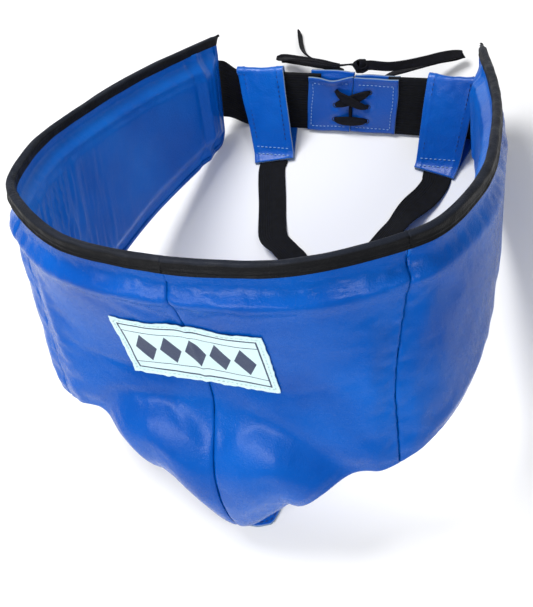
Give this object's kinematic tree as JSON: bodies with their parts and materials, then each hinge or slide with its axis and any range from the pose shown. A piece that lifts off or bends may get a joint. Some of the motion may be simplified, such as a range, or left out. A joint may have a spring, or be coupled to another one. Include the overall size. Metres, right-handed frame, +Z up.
{
  "type": "groin protector",
  "caption": "Padded leather groin protector with a wrap-round hip band, rounded cup front, laced elastic waistband and leg straps.",
  "frame": {"origin": "on the table under the middle of the guard, as it lies on its crotch tail and the rear lower corners of its wings", "axes": "+X to the wearer's left, +Y along the table from the cup to the laced back, +Z up from the table"},
  "size_m": [0.296, 0.4262, 0.233],
  "materials": {
    "blue_leather": "semi-gloss coated leather, fine grain",
    "blue_lining": "semi-gloss coated leather, softer and creased",
    "black_binding": "woven tape",
    "foam": "open foam",
    "cup_steel": "brushed",
    "pale_patch": "woven satin label with a navy border",
    "black_webbing": "ribbed elastic webbing",
    "black_lace": "flat woven lace"
  },
  "bodies": {
    "root": {"cover_front_left": "blue_leather", "cover_front_right": "blue_leather", "foam_front_outer": "foam", "foam_front_inner": "foam", "lining_front": "blue_lining", "binding_front": "black_binding", "cup_shell": "cup_steel", "label_patch": "pale_patch", "crotch_tail": "blue_leather", "waist_elastic_left": "black_webbing", "waist_elastic_right": "black_webbing", "lace_tab_left": "blue_leather", "lace_tab_right": "blue_leather", "lace_bar": "black_lace", "lace_cross_over": "black_lace", "lace_cross_under": "black_lace", "lace_riser": "black_lace", "lace_knot": "black_lace", "lace_end_left": "black_lace", "lace_end_right": "black_lace", "leg_strap_left": "black_webbing", "leg_strap_right": "black_webbing"},
    "wing_left": {"cover_wing_left": "blue_leather", "foam_wing_left": "foam", "lining_wing_left": "blue_lining", "binding_wing_left": "black_binding"},
    "wing_right": {"cover_wing_right": "blue_leather", "foam_wing_right": "foam", "lining_wing_right": "blue_lining", "binding_wing_right": "black_binding"},
    "loop_left": {"belt_loop_left": "blue_leather"},
    "loop_right": {"belt_loop_right": "blue_leather"}
  },
  "joints": [
    {"name": "wing_left_flex", "type": "hinge", "parent": "root", "child": "wing_left", "pos_m": [0.117, -0.0914, 0.148], "axis": [-0.068, -0.5351, -0.8421], "range_deg": [0, 8], "stiffness_Nm_per_rad": 25, "deforming": ["waist_elastic_left"]},
    {"name": "wing_right_flex", "type": "hinge", "parent": "root", "child": "wing_right", "pos_m": [-0.117, -0.0914, 0.148], "axis": [-0.068, 0.5351, 0.8421], "range_deg": [0, 8], "stiffness_Nm_per_rad": 25, "deforming": ["waist_elastic_right"]},
    {"name": "loop_left_slide", "type": "slide", "parent": "root", "child": "loop_left", "axis": [1, 0, 0], "range_m": [-0.018, 0], "deforming": ["leg_strap_left"]},
    {"name": "loop_right_slide", "type": "slide", "parent": "root", "child": "loop_right", "axis": [1, 0, 0], "range_m": [0, 0.008], "deforming": ["leg_strap_right"]}
  ]
}
